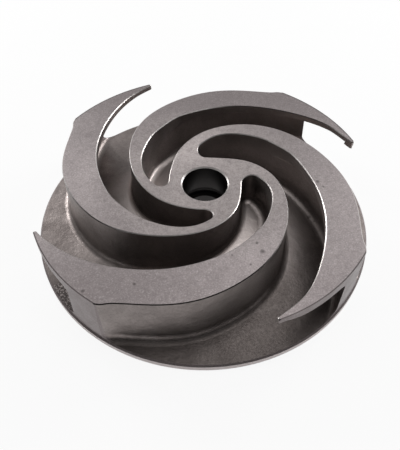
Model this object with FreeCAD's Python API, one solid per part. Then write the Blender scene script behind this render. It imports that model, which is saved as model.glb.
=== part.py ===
import FreeCAD, Part
import math
import os

# Pump impeller: one casting with four spiral vanes on a flat disc.
# Millimetres. The origin is the centre of the flat back face, +Z runs up the bore
# towards the vanes, and the passages are cut from a turned blank.

os.makedirs("parts", exist_ok=True)

# Disc
rim_radius = 90.0
rim_height = 4.0
rim_edge_break = 0.4
back_edge_break = 0.6

# Vanes: turned outer faces and turned, crowned tops
vane_count = 4
vane_radius = 88.7
vane_taper = 0.5
edge_height = 33.7
crest_radius = 48.0
crest_height = 36.9
hub_height = 30.1
passage_edge_break = 0.4

# Bore
bore_radius = 12.0
bore_mouth_break = 0.6
shaft_radius = 9.5
shaft_length = 10.5
shaft_back_break = 0.8
ring_groove_depth = 0.5
ring_groove_width = 1.2
ring_groove_height = 13.5

# Passages
hub_radius = 19.0
pocket_round = 4.7
pocket_angle = 157.0
pocket_turn = 45.0
wall_draft = 1.2
foot_round = 4.0
tip_round = 1.0
tip_slope = 19.0
mouth_angle = -63.0
mouth_slope = 22.0
mouth_clearance = 4.0

# Floor heights from the rim to the hub
floor_edge_height = 4.3
floor_mid_radius = 63.0
floor_mid_height = 6.8
floor_inner_radius = 31.5
floor_inner_height = 12.8
floor_hub_height = 14.0

# Undercut below each vane's overhanging lip
lip_thickness = 4.6
lip_round = 3.6
undercut_angle = 25.0
undercut_flare = 7.5
split_height = 20.0

# Bevel below each lip's inner edge: depth per mm of height, and how far it goes along the lip
lip_edge_thickness = 2.6
bevel_slope = 2.0
bevel_overlap = 1.0
bevel_fade = [1.0, 1.0, 1.0, 0.8, 0.3]

# Where each vane's tip starts, in degrees along the rim: the cast tips are uneven
first_tip_angle = 23.8
tip_leads = [-2.0, 1.0, 2.3, -1.0]

# Spiral edges as (degrees past the vane's tip, share of the way from hub to vane radius)
concave_outer = [(9.0, 0.925), (22.0, 0.816), (35.0, 0.711), (60.0, 0.550), (82.0, 0.447)]
concave_join = (105.0, 0.356)
concave_inner = [(120.0, 0.303), (135.0, 0.254), (150.0, 0.194)]
convex_spiral = [(130.0, 0.024), (105.0, 0.096), (75.0, 0.218), (45.0, 0.363), (15.0, 0.551), (-12.0, 0.715), (-36.0, 0.855), (-50.0, 0.953)]
# Set-back of the wall under the lip at the last three angles of the outer concave edge
undercut_setbacks = [12.3, 6.2, 2.0]

mouth_radius = max(rim_radius, vane_radius) + mouth_clearance
past_tip = (-6.0, (mouth_radius - hub_radius) / (vane_radius - hub_radius))
top_clearance = 10.0
seam_angle = 200.0
crown_seam_angle = 14.0
outer_limit = mouth_radius + mouth_clearance


def vec(x, y, z=0.0):
    return FreeCAD.Vector(x, y, z)


def polar(radius, degrees, z=0.0):
    a = math.radians(degrees)
    return vec(radius * math.cos(a), radius * math.sin(a), z)


def direction(degrees):
    return polar(1.0, degrees)


def spiral_radius(share):
    return hub_radius + share * (vane_radius - hub_radius)


def segment(a, b):
    return Part.makeLine(a, b)


def bezier(points):
    curve = Part.BezierCurve()
    curve.setPoles(points)
    return curve.toShape()


def smooth(points, start=None, end=None):
    curve = Part.BSplineCurve()
    if start is None:
        curve.interpolate(Points=points)
    else:
        curve.interpolate(Points=points, InitialTangent=start, FinalTangent=end)
    return curve.toShape()


def turned(edges):
    face = Part.Face(Part.Wire(edges))
    return face.revolve(vec(0, 0, 0), vec(0, 0, 1), 360)


# Crown: the hub's dish rises to the crest, then the tops fall to the vane radius.
# Lowered by the lip's thickness, the same curve is the roof under the lips.
def crown_points(drop):
    hub_z = hub_height - drop
    crest_z = crest_height - drop
    edge_z = edge_height - drop
    rise = crest_z - hub_z
    fall = crest_z - edge_z
    inner_run = crest_radius - bore_radius
    outer_run = vane_radius - crest_radius
    dish = bezier([
        vec(bore_radius, 0, hub_z),
        vec(bore_radius + 0.33 * inner_run, 0, hub_z + 0.16 * rise),
        vec(bore_radius + 0.61 * inner_run, 0, hub_z + 0.95 * rise),
        vec(crest_radius, 0, crest_z),
    ])
    tops = bezier([
        vec(crest_radius, 0, crest_z),
        vec(crest_radius + 0.12 * outer_run, 0, crest_z),
        vec(crest_radius + 0.44 * outer_run, 0, edge_z + 0.34 * fall),
        vec(vane_radius, 0, edge_z),
    ])
    return dish.discretize(4)[:-1] + tops.discretize(4)


def chain(points):
    return [segment(points[i], points[i + 1]) for i in range(len(points) - 1)]


# Turned blank: disc, rim, outer diameter and crowned top
def make_blank():
    crown = smooth(crown_points(0.0))
    top = crown_points(0.0)[-1]
    profile = [
        top,
        vec(vane_radius + vane_taper, 0, floor_edge_height),
        vec(rim_radius - rim_edge_break, 0, rim_height),
        vec(rim_radius, 0, rim_height - rim_edge_break),
        vec(rim_radius, 0, back_edge_break),
        vec(rim_radius - back_edge_break, 0, 0),
        vec(0, 0, 0),
        vec(0, 0, hub_height),
        vec(bore_radius, 0, hub_height),
    ]
    return about_axis(turned(chain(profile) + [crown]), crown_seam_angle)


def bore_tool():
    lip = bore_mouth_break
    slope = 2.0 * lip
    profile = [
        vec(0, 0, -1.0),
        vec(shaft_radius + shaft_back_break + 1.0, 0, -1.0),
        vec(shaft_radius, 0, shaft_back_break),
        vec(shaft_radius, 0, shaft_length),
        vec(bore_radius, 0, shaft_length),
        vec(bore_radius, 0, ring_groove_height),
        vec(bore_radius + ring_groove_depth, 0, ring_groove_height + 0.3 * ring_groove_width),
        vec(bore_radius + ring_groove_depth, 0, ring_groove_height + 0.7 * ring_groove_width),
        vec(bore_radius, 0, ring_groove_height + ring_groove_width),
        vec(bore_radius, 0, hub_height - lip),
        vec(bore_radius + slope, 0, hub_height + lip),
        vec(0, 0, hub_height + lip),
        vec(0, 0, -1.0),
    ]
    return turned(chain(profile))


# Passage floor: a turned curve from the rim up to the hub
def floor_edge():
    return smooth([
        vec(bore_radius, 0, floor_hub_height),
        vec(floor_inner_radius, 0, floor_inner_height),
        vec(floor_mid_radius, 0, floor_mid_height),
        vec(rim_radius, 0, floor_edge_height),
        vec(outer_limit, 0, floor_edge_height),
    ])


def about_axis(shape, degrees):
    copy = shape.copy()
    copy.rotate(vec(0, 0, 0), vec(0, 0, 1), degrees)
    return copy


# Ring of space from the floor up to the underside of the lips
def under_lip():
    points = crown_points(lip_thickness)
    last = points[-1]
    beyond = last + (last - points[-2]).normalize() * (outer_limit - vane_radius)
    roof = smooth(points + [beyond])
    edges = [
        floor_edge(),
        segment(vec(outer_limit, 0, floor_edge_height), beyond),
        roof,
        segment(points[0], vec(bore_radius, 0, floor_hub_height)),
    ]
    return about_axis(turned(edges), seam_angle)


def shifted(table, insets):
    points = [polar(spiral_radius(share), angle) for angle, share in table]
    moved = []
    for i, p in enumerate(points):
        before = points[max(i - 1, 0)]
        after = points[min(i + 1, len(points) - 1)]
        along = (after - before).normalize()
        moved.append(p + vec(-along.y, along.x) * insets[i])
    return moved


def set_in(table, inset):
    return shifted(table, [inset] * len(table))


# Walls that every level of a passage shares: inner concave edge, rounded end, convex edge
class Walls:
    def __init__(self, inset, z):
        self.z = z
        reach = pocket_round - inset
        centre = polar(hub_radius + pocket_round, pocket_angle)
        start = centre + direction(pocket_angle + pocket_turn) * reach
        bend = centre + direction(pocket_angle + 0.5 * (pocket_turn + 180.0)) * reach
        end = centre + direction(pocket_angle + 180.0) * reach
        concave = set_in(concave_outer[-1:] + [concave_join] + concave_inner, inset)
        self.join = concave[1]
        self.join_along = (concave[2] - concave[0]).normalize()
        into_pocket = direction(pocket_angle + pocket_turn + 90.0)
        self.inner = smooth(self.lift([self.join] + concave[2:] + [start]), self.join_along, into_pocket)
        self.pocket = Part.Arc(*self.lift([start, bend, end])).toShape()
        self.mouth = polar(mouth_radius, mouth_angle)
        convex = [end] + set_in(convex_spiral, inset) + [self.mouth]
        out_of_pocket = direction(pocket_angle - 90.0)
        into_mouth = direction(mouth_angle - 90.0 + mouth_slope)
        self.convex = smooth(self.lift(convex), out_of_pocket, into_mouth)

    def lift(self, points):
        return [vec(p.x, p.y, self.z) for p in points]


# Upper outline: it runs out round the tip of the overhanging lip
def lip_outline(lead, inset, z):
    walls = Walls(inset, z)
    reach = tip_round + inset
    centre = polar(vane_radius - 0.75 * tip_round, lead + math.degrees(tip_round / vane_radius))
    foot = centre + direction(lead + 180.0 + tip_slope) * reach
    front = centre + direction(lead - 90.0) * reach
    out = centre + direction(lead - 35.0) * reach
    along_lip = direction(lead + 90.0 + tip_slope)
    leave = polar(mouth_radius, lead)
    across = polar(mouth_radius, 0.5 * (mouth_angle + lead))
    outer = [foot] + set_in(concave_outer, inset) + [walls.join]
    edges = [
        smooth(walls.lift(outer), along_lip, walls.join_along),
        walls.inner,
        walls.pocket,
        walls.convex,
        Part.Arc(*walls.lift([walls.mouth, across, leave])).toShape(),
        segment(*walls.lift([leave, out])),
        Part.Arc(*walls.lift([out, front, foot])).toShape(),
    ]
    return Part.Wire(edges)


# Lower outline: it is set back under the lip
def undercut_outline(inset, z):
    walls = Walls(inset, z)
    start_angle = undercut_angle - undercut_flare
    start = polar(mouth_radius, start_angle)
    back = [start, polar(vane_radius, undercut_angle)]
    for (angle, share), setback in zip(concave_outer[-len(undercut_setbacks):], undercut_setbacks):
        back.append(polar(spiral_radius(share) + setback, angle))
    across = polar(mouth_radius, 0.5 * (mouth_angle + start_angle))
    into_start = (back[1] - back[0]).normalize()
    edges = [
        smooth(walls.lift(back + [walls.join]), into_start, walls.join_along),
        walls.inner,
        walls.pocket,
        walls.convex,
        Part.Arc(*walls.lift([walls.mouth, across, start])).toShape(),
    ]
    return Part.Wire(edges)


def leaning(outline_at, low, high):
    lean = math.tan(math.radians(wall_draft))
    low_wire = outline_at((edge_height - low) * lean, low)
    high_wire = outline_at((edge_height - high) * lean, high)
    return Part.makeLoft([low_wire, high_wire], True, True)


def middle(edge):
    return edge.valueAt(0.5 * (edge.FirstParameter + edge.LastParameter))


# Edges where the walls meet the floor or the roof, between two heights
def wall_edges(shape, low, high):
    found = []
    for edge in shape.Edges:
        point = middle(edge)
        flat = edge.BoundBox.ZLength < 0.5 * edge.Length
        inside = math.hypot(point.x, point.y) < mouth_radius - 0.5
        round_axis = edge.Curve.TypeId == "Part::GeomCircle"
        if flat and inside and not round_axis and low < point.z < high:
            found.append(edge)
    return found


# Lower part of a passage, with a rounded foot and a rounded corner under the lip
def lower_tool():
    top = crest_height + top_clearance
    block = leaning(undercut_outline, 0.0, top)
    tool = block.common(under_lip()).Solids[0]
    tool = tool.makeFillet(lip_round, wall_edges(tool, split_height, crest_height)).Solids[0]
    return tool.makeFillet(foot_round, wall_edges(tool, 0.0, split_height)).Solids[0]


# Bevel that thins the lip from below towards its inner edge, out past the tip
def bevel_tool():
    table = [past_tip] + concave_outer[:4]
    low = edge_height - lip_thickness - bevel_overlap
    high = edge_height - lip_edge_thickness
    depth = bevel_slope * (high - low)

    def outline_at(z, reach):
        outer = [vec(p.x, p.y, z) for p in shifted(table, [-reach * fade for fade in bevel_fade])]
        inner = [vec(p.x, p.y, z) for p in set_in(table, lip_edge_thickness)]
        inner.reverse()
        return Part.Wire([
            smooth(outer),
            segment(outer[-1], inner[0]),
            smooth(inner),
            segment(inner[-1], outer[0]),
        ])

    return Part.makeLoft([outline_at(low, depth), outline_at(high, -0.1 * bevel_overlap)], True, True)


# Upper part of a passage, open at the top
def upper_tool(lead):
    top = crest_height + top_clearance

    def outline_at(inset, z):
        return lip_outline(lead, inset, z)

    block = leaning(outline_at, 0.0, top)
    limit = Part.makeBox(4 * mouth_radius, 4 * mouth_radius, top - split_height)
    limit.translate(vec(-2 * mouth_radius, -2 * mouth_radius, split_height))
    return block.common(limit).Solids[0]




# Edges where the passages break through the crowned top
def passage_edges(body):
    crown = smooth(crown_points(0.0))
    found = []
    for edge in body.Edges:
        point = middle(edge)
        radius = math.hypot(point.x, point.y)
        if edge.Curve.TypeId == "Part::GeomCircle" or radius < hub_radius - pocket_round:
            continue
        first = edge.valueAt(edge.FirstParameter)
        last = edge.valueAt(edge.LastParameter)
        turn = abs(math.degrees(math.atan2(first.x * last.y - first.y * last.x, first.dot(last))))
        gap, pairs, info = crown.distToShape(Part.Vertex(vec(radius, 0, point.z)))
        if gap < 0.005 and turn > 0.05:
            found.append(edge)
    return found


# The casting: turned blank, stepped bore, then one upper and one lower cut per passage
def make_impeller():
    tools = [bore_tool()]
    lower = lower_tool()
    bevel = bevel_tool()
    for k in range(vane_count):
        angle = first_tip_angle + k * 360.0 / vane_count
        lead = tip_leads[k % len(tip_leads)]
        tools.append(about_axis(upper_tool(lead), angle))
        tools.append(about_axis(lower, angle))
        tools.append(about_axis(bevel, angle))
    body = make_blank().cut(tools)
    return body.makeChamfer(passage_edge_break, passage_edges(body))


impeller = make_impeller()
print("impeller", impeller.isValid(), round(impeller.Volume), len(impeller.Solids), len(impeller.Faces))
impeller.exportStep("parts/impeller.step")
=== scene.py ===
import math

import bpy
from mathutils import Matrix, Vector

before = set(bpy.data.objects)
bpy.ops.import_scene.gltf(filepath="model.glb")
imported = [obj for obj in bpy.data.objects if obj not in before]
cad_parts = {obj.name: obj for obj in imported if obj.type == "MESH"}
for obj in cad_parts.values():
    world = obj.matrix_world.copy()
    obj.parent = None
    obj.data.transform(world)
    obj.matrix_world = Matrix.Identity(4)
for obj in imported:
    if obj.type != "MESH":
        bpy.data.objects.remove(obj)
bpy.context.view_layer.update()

MM = 0.001

# Sizes repeated from the part, in metres
RIM_RADIUS = 90 * MM
RIM_HEIGHT = 4 * MM
VANE_RADIUS = 88.7 * MM
BORE_RADIUS = 12 * MM
HUB_TOP = 30.1 * MM
LOWEST_TOP = 29.4 * MM

# The fitted camera: degrees, rim radii, and pixels of the photograph's frame
CAMERA_ELEVATION = 49.6426
CAMERA_ROLL = 1.9978
CAMERA_DISTANCE = 3.2767
CAMERA_AIM = (0.0791, 0.0083, 0)
FOCAL_LENGTH = 517.4155
FITTED_CENTRE = (217.333, 219.869)
PICTURE_WIDTH = 400.0
PICTURE_HEIGHT = 450.0


# ---- Camera: the photograph's viewing angle, fitted on the rim, the bore and the vane edges
def add_camera():
    data = bpy.data.cameras.new("camera")
    cam = bpy.data.objects.new("camera", data)
    bpy.context.scene.collection.objects.link(cam)
    elevation = math.radians(CAMERA_ELEVATION)
    roll = math.radians(CAMERA_ROLL)
    back = Vector((0, -math.cos(elevation), math.sin(elevation)))
    right = Vector((1, 0, 0))
    up = back.cross(right)
    right_r = right * math.cos(roll) + up * math.sin(roll)
    up_r = up * math.cos(roll) - right * math.sin(roll)
    place = Vector(CAMERA_AIM) * RIM_RADIUS + back * (CAMERA_DISTANCE * RIM_RADIUS)
    cam.matrix_world = Matrix((
        (right_r.x, up_r.x, back.x, place.x),
        (right_r.y, up_r.y, back.y, place.y),
        (right_r.z, up_r.z, back.z, place.z),
        (0, 0, 0, 1),
    ))
    data.sensor_width = 36.0
    data.lens = FOCAL_LENGTH * data.sensor_width / PICTURE_HEIGHT
    data.shift_x = (0.5 * PICTURE_WIDTH - FITTED_CENTRE[0]) / PICTURE_HEIGHT
    data.shift_y = (FITTED_CENTRE[1] - 0.5 * PICTURE_HEIGHT) / PICTURE_HEIGHT
    data.clip_start = 0.01
    data.clip_end = 20.0
    bpy.context.scene.camera = cam


class Nodes:
    """Short helpers that write a material's node tree."""

    def __init__(self, material):
        material.use_nodes = True
        self.tree = material.node_tree
        self.tree.nodes.clear()

    def new(self, kind, **values):
        node = self.tree.nodes.new(kind)
        for key, value in values.items():
            setattr(node, key, value)
        return node

    def link(self, a, b):
        self.tree.links.new(a, b)

    def put(self, socket, value):
        if hasattr(value, "is_output") or hasattr(value, "links"):
            self.link(value, socket)
        else:
            socket.default_value = value

    def math(self, op, a, b=0.0, c=0.0, clamp=False):
        node = self.new("ShaderNodeMath", operation=op, use_clamp=clamp)
        for socket, value in zip(node.inputs, (a, b, c)):
            self.put(socket, value)
        return node.outputs[0]

    def ramp(self, value, low, high):
        node = self.new("ShaderNodeMapRange", clamp=True, interpolation_type="SMOOTHSTEP")
        self.put(node.inputs["Value"], value)
        self.put(node.inputs["From Min"], low)
        self.put(node.inputs["From Max"], high)
        return node.outputs[0]

    def remap(self, value, low, high, out_low, out_high):
        node = self.new("ShaderNodeMapRange", clamp=True)
        self.put(node.inputs["Value"], value)
        self.put(node.inputs["From Min"], low)
        self.put(node.inputs["From Max"], high)
        self.put(node.inputs["To Min"], out_low)
        self.put(node.inputs["To Max"], out_high)
        return node.outputs[0]

    def both(self, a, b):
        return self.math("MULTIPLY", a, b)

    def mix(self, factor, a, b):
        node = self.new("ShaderNodeMix", data_type="RGBA")
        self.put(node.inputs[0], factor)
        self.put(node.inputs[6], a)
        self.put(node.inputs[7], b)
        return node.outputs[2]

    def blend(self, factor, a, b):
        node = self.new("ShaderNodeMix", data_type="FLOAT")
        self.put(node.inputs[0], factor)
        self.put(node.inputs[2], a)
        self.put(node.inputs[3], b)
        return node.outputs[0]

    def noise(self, vector, scale, detail=2.0, rough=0.5, distortion=0.0):
        node = self.new("ShaderNodeTexNoise")
        self.link(vector, node.inputs["Vector"])
        node.inputs["Scale"].default_value = scale
        node.inputs["Detail"].default_value = detail
        node.inputs["Roughness"].default_value = rough
        node.inputs["Distortion"].default_value = distortion
        return node.outputs["Fac"]

    def combine(self, x, y, z):
        node = self.new("ShaderNodeCombineXYZ")
        for socket, value in zip(node.inputs, (x, y, z)):
            self.put(socket, value)
        return node.outputs[0]


# Dark casting pits: x, y, radius in millimetres, on the tops and on a passage floor
PITS = [
    (-49.6, -70.8, 1.5),
    (-28.0, -67.0, 1.3),
    (25.7, -43.7, 1.2),
    (28.4, -48.0, 2.0),
    (14.3, -50.9, 1.0),
    (22.8, -55.2, 0.9),
    (57.9, -1.9, 1.8),
    (60.5, -5.0, 1.0),
]
# The roughest cast wall is in the mouth that opens to the front left
ROUGH_PLACE = (-66 * MM, -58 * MM, 13 * MM)


# ---- The casting: machined tops, outer faces and bore, and as-cast passages
def casting_material():
    material = bpy.data.materials.new("casting")
    n = Nodes(material)
    coords = n.new("ShaderNodeTexCoord").outputs["Object"]
    split = n.new("ShaderNodeSeparateXYZ")
    n.link(coords, split.inputs[0])
    x, y, z = split.outputs
    radius = n.math("SQRT", n.math("ADD", n.both(x, x), n.both(y, y)))
    geometry = n.new("ShaderNodeNewGeometry")
    facing = n.new("ShaderNodeSeparateXYZ")
    n.link(geometry.outputs["True Normal"], facing.inputs[0])
    upward = n.ramp(facing.outputs[2], 0.80, 0.90)

    # Where the tool has cut: crowned tops, outer diameter, rim, bore and back
    high = n.math("GREATER_THAN", z, LOWEST_TOP)
    tops = n.both(upward, high)
    outside = n.math("GREATER_THAN", radius, VANE_RADIUS - 0.25 * MM)
    below_tops = n.math("LESS_THAN", z, LOWEST_TOP)
    not_floor = n.math("SUBTRACT", 1.0, n.both(upward, below_tops), clamp=True)
    outer = n.both(outside, not_floor)
    bore = n.math("LESS_THAN", radius, BORE_RADIUS + 1.3 * MM)
    back = n.math("LESS_THAN", z, 0.3 * MM)
    machined = n.math("MAXIMUM", n.math("MAXIMUM", tops, outer), n.math("MAXIMUM", bore, back), clamp=True)

    # Machined colour: neutral grey and a little pink, with painted shade that makes it darker towards the
    # rim
    cloud = n.noise(coords, 38.0, 4.0, 0.6)
    fine = n.noise(coords, 420.0, 3.0, 0.65)
    swirl = n.noise(coords, 120.0, 3.0, 0.55, 0.4)
    outward = n.ramp(radius, 30 * MM, 60 * MM)
    top_inner_painted_light = (0.42, 0.375, 0.365, 1)
    top_outer_painted_shade = (0.315, 0.278, 0.276, 1)
    top_colour = n.mix(outward, top_inner_painted_light, top_outer_painted_shade)
    top_colour = n.mix(n.remap(cloud, 0.35, 0.7, 0.0, 0.40), top_colour, (0.235, 0.205, 0.205, 1))
    top_colour = n.mix(n.remap(fine, 0.42, 0.68, 0.0, 0.48), top_colour, (0.19, 0.165, 0.165, 1))
    # The tops are darker towards the front and the back of the disc
    side = n.ramp(n.math("ABSOLUTE", y), 40 * MM, 72 * MM)
    top_colour = n.mix(n.both(side, 0.42), top_colour, (0.19, 0.162, 0.162, 1))
    speckle = n.noise(coords, 1400.0, 2.0, 0.7)
    top_colour = n.mix(n.remap(speckle, 0.50, 0.72, 0.0, 0.45), top_colour, (0.14, 0.12, 0.12, 1))
    top_colour = n.mix(n.remap(speckle, 0.46, 0.28, 0.0, 0.30), top_colour, (0.62, 0.58, 0.57, 1))

    # Turning marks: rings of uneven strength about the axis
    across_rings = n.combine(radius, n.both(z, 0.35), 0.0)
    rings = n.noise(across_rings, 1500.0, 2.0, 0.6)

    # Cast colour: brown-grey and blotchy, with painted shade that makes it darker higher up, towards the
    # tops
    grain = n.noise(coords, 900.0, 3.0, 0.7)
    blotch = n.noise(coords, 55.0, 4.0, 0.6, 0.6)
    painted_height_shade = n.ramp(z, 8 * MM, 30 * MM)
    cast_light = (0.33, 0.288, 0.275, 1)
    cast_dark = (0.185, 0.158, 0.150, 1)
    cast_colour = n.mix(n.remap(blotch, 0.35, 0.65, 0.0, 1.0), cast_light, cast_dark)
    cast_colour = n.mix(n.remap(grain, 0.5, 0.8, 0.0, 0.45), cast_colour, (0.07, 0.06, 0.055, 1))
    cast_colour = n.mix(n.both(painted_height_shade, 0.25), cast_colour, (0.10, 0.09, 0.085, 1))

    # Painted shade: deep corners and the spaces below the lips are darkened by occlusion
    occlusion_shade = n.new("ShaderNodeAmbientOcclusion", samples=6)
    occlusion_shade.inputs["Distance"].default_value = 30 * MM
    open_part = n.remap(occlusion_shade.outputs["AO"], 0.12, 0.55, 0.0, 1.0)
    cast_colour = n.mix(open_part, (0.060, 0.050, 0.046, 1), cast_colour)
    # Painted highlight: the passage floors near the hub are brighter
    flat = n.both(n.ramp(facing.outputs[2], 0.55, 0.90), below_tops)
    painted_highlight_near_hub = n.both(flat, n.ramp(radius, 66 * MM, 40 * MM))
    cast_colour = n.mix(n.both(painted_highlight_near_hub, 0.75), cast_colour, (0.60, 0.535, 0.515, 1))
    # Painted shade: farther out the floors are darker, most of all at the front; painted light makes the
    # walls a little lighter where open and towards +x
    shaded_far_floor = n.both(flat, n.ramp(radius, 40 * MM, 66 * MM))
    floor_shade_amount = n.math("ADD", 0.20, n.both(n.ramp(y, -20 * MM, -66 * MM), 0.58))
    cast_colour = n.mix(n.both(shaded_far_floor, floor_shade_amount), cast_colour, (0.050, 0.042, 0.039, 1))
    wall = n.math("SUBTRACT", 1.0, n.ramp(facing.outputs[2], 0.10, 0.55), clamp=True)
    painted_light_side = n.remap(x, -45 * MM, 25 * MM, 0.02, 0.36)
    wall = n.both(wall, n.both(open_part, painted_light_side))
    cast_colour = n.mix(wall, cast_colour, (0.52, 0.46, 0.44, 1))

    # One rough, blotched patch of cast skin, its dark part painted shade of the recess under the lip
    away = n.new("ShaderNodeVectorMath", operation="DISTANCE")
    n.link(coords, away.inputs[0])
    away.inputs[1].default_value = ROUGH_PLACE
    crust = n.noise(coords, 950.0, 3.0, 0.75, 0.5)
    rough_and_shaded_patch_colour = n.mix(n.ramp(crust, 0.46, 0.66), (0.035, 0.029, 0.027, 1), (0.34, 0.30, 0.29, 1))
    ragged_away = n.math("ADD", away.outputs["Value"], n.both(blotch, 9 * MM))
    patch = n.ramp(ragged_away, 21 * MM, 17 * MM)
    cast_colour = n.mix(n.both(patch, 0.85), cast_colour, rough_and_shaded_patch_colour)

    # Small dark pits with uneven outlines
    pitted = 0.0
    wobble = n.noise(coords, 700.0, 2.0, 0.6)
    for px, py, size in PITS:
        dx = n.math("SUBTRACT", x, px * MM)
        dy = n.math("SUBTRACT", y, py * MM)
        span = n.math("SQRT", n.math("ADD", n.both(dx, dx), n.both(dy, dy)))
        ragged = n.math("ADD", span, n.both(wobble, size * 1.1 * MM))
        pitted = n.math("MAXIMUM", pitted, n.ramp(ragged, size * 1.35 * MM, size * 0.75 * MM))
    top_colour = n.mix(n.both(pitted, 0.75), top_colour, (0.075, 0.064, 0.062, 1))
    cast_colour = n.mix(n.both(pitted, 0.75), cast_colour, (0.060, 0.050, 0.047, 1))
    # Painted shade: a thin dark line where the tops meet the outer faces
    painted_shade_brink = n.both(tops, n.math("GREATER_THAN", radius, VANE_RADIUS - 0.60 * MM))
    top_colour = n.mix(n.both(painted_shade_brink, 0.85), top_colour, (0.045, 0.039, 0.038, 1))

    # The bore is dark with old oil and shadow
    inside_bore = n.both(bore, n.math("LESS_THAN", z, HUB_TOP - 0.4 * MM))
    top_colour = n.mix(inside_bore, top_colour, (0.022, 0.019, 0.018, 1))
    # Broken edges of the passages are bright bare metal, partly a painted glint
    steep = n.math("LESS_THAN", facing.outputs[2], 0.88)
    leaning = n.both(n.math("GREATER_THAN", facing.outputs[2], 0.12), steep)
    edges = n.both(leaning, n.math("GREATER_THAN", z, 27 * MM))
    # Painted shade: the outer faces are darker
    top_colour = n.mix(n.both(outer, 0.40), top_colour, (0.19, 0.150, 0.148, 1))
    # Painted light: the rim's side is pale
    under_rim_edge = n.math("LESS_THAN", z, RIM_HEIGHT - 0.6 * MM)
    painted_light_rim = n.both(n.math("GREATER_THAN", radius, RIM_RADIUS - 0.3 * MM), under_rim_edge)
    top_colour = n.mix(n.both(painted_light_rim, 0.9), top_colour, (0.90, 0.80, 0.79, 1))
    colour = n.mix(machined, cast_colour, top_colour)
    # Painted shade: the long outer edge that faces the front is a dark line; elsewhere the edges are bare
    # metal with a painted glint
    painted_shade_front = n.both(n.ramp(facing.outputs[1], -0.30, -0.60), n.ramp(radius, 52 * MM, 62 * MM))
    edge_glint_and_shade_colour = n.mix(painted_shade_front, (0.56, 0.53, 0.515, 1), (0.045, 0.040, 0.038, 1))
    colour = n.mix(edges, colour, edge_glint_and_shade_colour)

    shader = n.new("ShaderNodeBsdfPrincipled")
    output = n.new("ShaderNodeOutputMaterial")
    n.link(shader.outputs[0], output.inputs["Surface"])
    n.link(colour, shader.inputs["Base Color"])
    n.link(n.blend(painted_light_rim, n.blend(machined, 0.88, 0.68), 0.15), shader.inputs["Metallic"])
    rough_top = n.remap(swirl, 0.3, 0.7, 0.36, 0.48)
    rough_cast = n.remap(grain, 0.3, 0.7, 0.34, 0.48)
    rough_top = n.blend(bore, rough_top, 0.30)
    n.link(n.blend(edges, n.blend(machined, rough_cast, rough_top), 0.36), shader.inputs["Roughness"])

    # Relief: ring marks where machined, sand grain and slow unevenness where cast
    uneven = n.noise(coords, 260.0, 3.0, 0.6)
    cast_relief = n.math("ADD", n.both(grain, 0.35), n.both(uneven, 0.9))
    top_relief = n.math("ADD", n.both(rings, 0.10), n.both(fine, 0.06))
    relief = n.blend(machined, cast_relief, top_relief)
    bump = n.new("ShaderNodeBump")
    bump.inputs["Strength"].default_value = 0.55
    bump.inputs["Distance"].default_value = 0.35 * MM
    n.link(relief, bump.inputs["Height"])
    n.link(bump.outputs[0], shader.inputs["Normal"])
    return material


# ---- Floor and light
def add_stage():
    bpy.ops.mesh.primitive_plane_add(size=6.0, location=(0, 0, 0))
    floor = bpy.context.object
    floor.name = "floor"
    material = bpy.data.materials.new("floor")
    n = Nodes(material)
    shader = n.new("ShaderNodeBsdfPrincipled")
    shader.inputs["Base Color"].default_value = (0.80, 0.80, 0.80, 1)
    shader.inputs["Roughness"].default_value = 0.9
    white = n.new("ShaderNodeEmission")
    white.inputs["Color"].default_value = (1, 1, 1, 1)
    white.inputs["Strength"].default_value = 1.0
    path = n.new("ShaderNodeLightPath")
    mirrored = n.math("MAXIMUM", path.outputs["Is Glossy Ray"], path.outputs["Is Transmission Ray"])
    seen = n.math("MAXIMUM", path.outputs["Is Camera Ray"], mirrored)
    blend = n.new("ShaderNodeMixShader")
    n.link(n.both(seen, 0.90), blend.inputs[0])
    n.link(shader.outputs[0], blend.inputs[1])
    n.link(white.outputs[0], blend.inputs[2])
    output = n.new("ShaderNodeOutputMaterial")
    n.link(blend.outputs[0], output.inputs["Surface"])
    floor.data.materials.append(material)


def add_area(name, place, aim, size, power):
    data = bpy.data.lights.new(name, "AREA")
    data.shape = "RECTANGLE"
    data.size, data.size_y = size
    data.energy = power
    lamp = bpy.data.objects.new(name, data)
    bpy.context.scene.collection.objects.link(lamp)
    lamp.location = place
    direction = Vector(aim) - Vector(place)
    lamp.rotation_euler = direction.to_track_quat("-Z", "Y").to_euler()
    return lamp


def add_lights():
    # A soft studio dome: bright overhead and behind, dim low down in front
    world = bpy.data.worlds.new("world")
    bpy.context.scene.world = world
    n = Nodes(world)
    way = n.new("ShaderNodeTexCoord").outputs["Generated"]
    split = n.new("ShaderNodeSeparateXYZ")
    n.link(way, split.inputs[0])
    lift = n.math("ADD", n.both(split.outputs[1], 0.45), n.both(split.outputs[2], 0.85))
    strength = n.remap(lift, 0.12, 0.95, 0.04, 0.80)
    # Beyond the floor the camera sees plain white
    seen = n.new("ShaderNodeLightPath").outputs["Is Camera Ray"]
    strength = n.blend(seen, strength, 1.0)
    dome = n.new("ShaderNodeBackground")
    dome.inputs["Color"].default_value = (1, 1, 1, 1)
    n.link(strength, dome.inputs["Strength"])
    output = n.new("ShaderNodeOutputWorld")
    n.link(dome.outputs[0], output.inputs["Surface"])
    add_area("left", (-0.58, 0.48, 0.30), (0, 0, 0.02), (0.30, 0.20), 3.1)
    add_area("right", (0.58, 0.46, 0.30), (0, 0, 0.02), (0.30, 0.20), 3.0)
    add_area("over", (0.15, 0.10, 0.80), (0, 0, 0.02), (0.40, 0.40), 1.0)


add_camera()
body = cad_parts["impeller"]
body.data.materials.clear()
body.data.materials.append(casting_material())
add_stage()
add_lights()

scene = bpy.context.scene
scene.view_settings.view_transform = "Standard"
